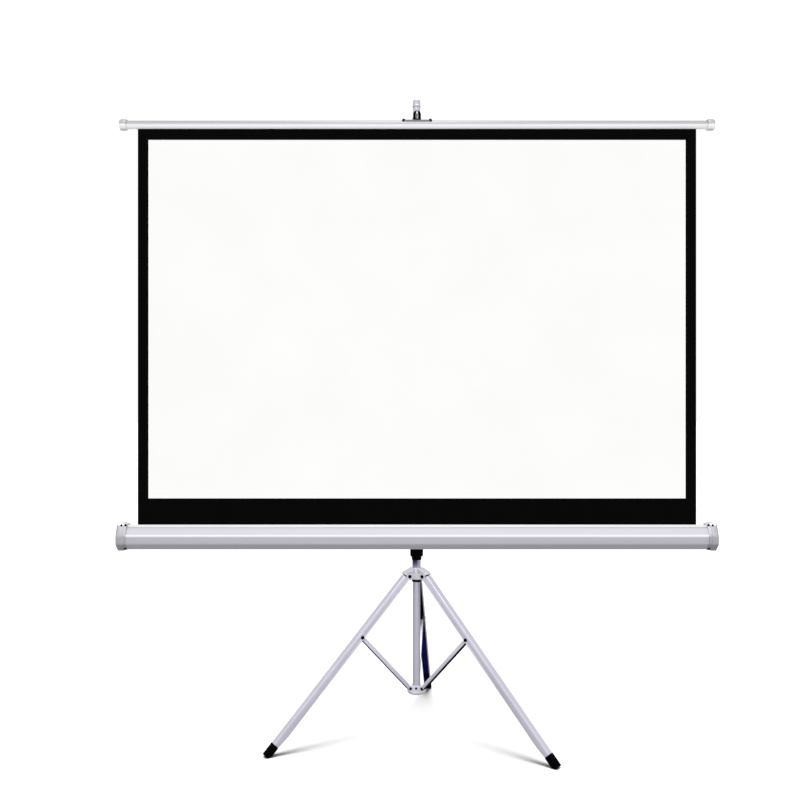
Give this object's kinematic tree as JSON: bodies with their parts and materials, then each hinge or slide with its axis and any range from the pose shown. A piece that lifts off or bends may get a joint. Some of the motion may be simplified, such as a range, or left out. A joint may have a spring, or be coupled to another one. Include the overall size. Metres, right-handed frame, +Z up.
{
  "type": "tripod projection screen",
  "caption": "Pull-up projection screen: matte white fabric with a black border rises from a spring roller case to a bar hooked on a telescoping pole, on a folding tripod stand.",
  "frame": {"origin": "on the floor, under the middle of the bounding box", "axes": "+Z up along the column, +X along the case to the viewer's right, the viewing surface faces -Y"},
  "size_m": [1.691, 0.7296, 1.8331],
  "materials": {
    "silver_steel": "satin silver paint",
    "silver_cast": "satin silver paint on a casting",
    "case_aluminium": "satin silver",
    "silver_plastic": "silver moulding",
    "bare_steel": "zinc plated",
    "black_plastic": "satin black",
    "black_rubber": "dull black",
    "screen_fabric": "matte white with a black masking border"
  },
  "bodies": {
    "column": {"column_tube": "silver_steel", "leg_hub": "silver_cast", "hub_bush": "black_plastic", "column_collar": "black_plastic", "leg_pin_1": "black_plastic", "leg_pin_2": "black_plastic", "leg_pin_3": "black_plastic"},
    "leg_1": {"leg_1": "silver_steel", "foot_1": "black_rubber", "strut_pin_1": "black_plastic"},
    "leg_2": {"leg_2": "silver_steel", "foot_2": "black_rubber", "strut_pin_2": "black_plastic"},
    "leg_3": {"leg_3": "silver_steel", "foot_3": "black_rubber", "strut_pin_3": "black_plastic"},
    "strut_1": {"strut_1": "silver_steel"},
    "strut_2": {"strut_2": "silver_steel"},
    "strut_3": {"strut_3": "silver_steel"},
    "centre_tube": {"lower_tube": "silver_steel", "spider": "silver_cast", "spider_screw": "black_plastic", "spider_pin_1": "black_plastic", "spider_pin_2": "black_plastic", "spider_pin_3": "black_plastic"},
    "case": {"carriage": "black_plastic", "case_saddle": "bare_steel", "swivel_pin": "bare_steel", "case_shell": "case_aluminium", "end_cap_right": "silver_plastic", "end_cap_left": "silver_plastic", "idle_bearing": "black_plastic", "roller_shaft": "bare_steel", "roller_spring": "bare_steel"},
    "case_knob": {"case_knob": "black_plastic"},
    "roller": {"roller_tube": "bare_steel", "wound_fabric": "screen_fabric", "idle_plug": "black_plastic", "spring_plug": "black_plastic"},
    "pole": {"pole": "silver_steel", "pole_tip": "silver_plastic", "pole_plug": "black_plastic", "hook": "bare_steel", "band_rivet": "bare_steel", "top_bar": "case_aluminium", "bar_cap_right": "silver_plastic", "bar_cap_left": "silver_plastic", "hem_rod": "black_plastic", "hanger_saddle": "bare_steel", "hanger_screw_left": "black_plastic", "hanger_screw_right": "black_plastic", "hanger_loop": "black_plastic", "screen_fabric": "screen_fabric"},
    "pole_knob": {"pole_knob": "black_plastic"}
  },
  "joints": [
    {"name": "leg_fold", "type": "hinge", "parent": "column", "child": "leg_1", "pos_m": [0.00275, -0.06262, 0.45867], "axis": [-0.9948, 0.1018, 0], "range_deg": [0, 41]},
    {"name": "leg_2_fold", "type": "hinge", "parent": "column", "child": "leg_2", "pos_m": [0.02189, -0.10529, 0.45867], "axis": [0.5855, 0.8107, 0], "range_deg": [0, 41]},
    {"name": "leg_3_fold", "type": "hinge", "parent": "column", "child": "leg_3", "pos_m": [-0.02464, -0.10053, 0.45867], "axis": [0.4093, -0.9124, 0], "range_deg": [0, 41]},
    {"name": "strut_1_fold", "type": "hinge", "parent": "leg_1", "child": "strut_1", "pos_m": [0.01758, 0.08239, 0.29792], "axis": [-0.9948, 0.1018, 0], "range_deg": [-81.3, 0]},
    {"name": "strut_2_fold", "type": "hinge", "parent": "leg_2", "child": "strut_2", "pos_m": [0.14005, -0.19064, 0.29792], "axis": [0.5855, 0.8107, 0], "range_deg": [-81.3, 0]},
    {"name": "strut_3_fold", "type": "hinge", "parent": "leg_3", "child": "strut_3", "pos_m": [-0.15763, -0.16019, 0.29792], "axis": [0.4093, -0.9124, 0], "range_deg": [-81.3, 0]},
    {"name": "spider_drop", "type": "hinge", "parent": "strut_1", "child": "centre_tube", "pos_m": [0.00224, -0.0676, 0.13467], "axis": [-0.9948, 0.1018, 0], "range_deg": [0, 40.3]},
    {"name": "case_height", "type": "slide", "parent": "column", "child": "case", "axis": [0, 0, 1], "range_m": [0, 0.15]},
    {"name": "pole_slide", "type": "slide", "parent": "case", "child": "pole", "axis": [0, 0, 1], "range_m": [-0.4, 0], "deforming": ["screen_fabric"]},
    {"name": "roller_spin", "type": "hinge", "parent": "case", "child": "roller", "pos_m": [0, -0.13948, 0.57672], "axis": [1, 0, 0], "range_deg": [0, 1300]},
    {"name": "pole_knob_turn", "type": "hinge", "parent": "column", "child": "pole_knob", "pos_m": [0, -0.08948, 1.30597], "axis": [0, 1, 0], "range_deg": [0, 360]},
    {"name": "case_knob_turn", "type": "hinge", "parent": "case", "child": "case_knob", "pos_m": [0, -0.08948, 0.57272], "axis": [0, 1, 0], "range_deg": [0, 360]}
  ],
  "couplings": [
    {"joint": "leg_2_fold", "follows": "leg_fold", "ratio": 1},
    {"joint": "leg_3_fold", "follows": "leg_fold", "ratio": 1},
    {"joint": "strut_1_fold", "follows": "leg_fold", "ratio": -1.982},
    {"joint": "strut_2_fold", "follows": "leg_fold", "ratio": -1.982},
    {"joint": "strut_3_fold", "follows": "leg_fold", "ratio": -1.982},
    {"joint": "spider_drop", "follows": "leg_fold", "ratio": 0.982},
    {"joint": "roller_spin", "follows": "pole_slide", "rad_per_m": -54.945}
  ]
}
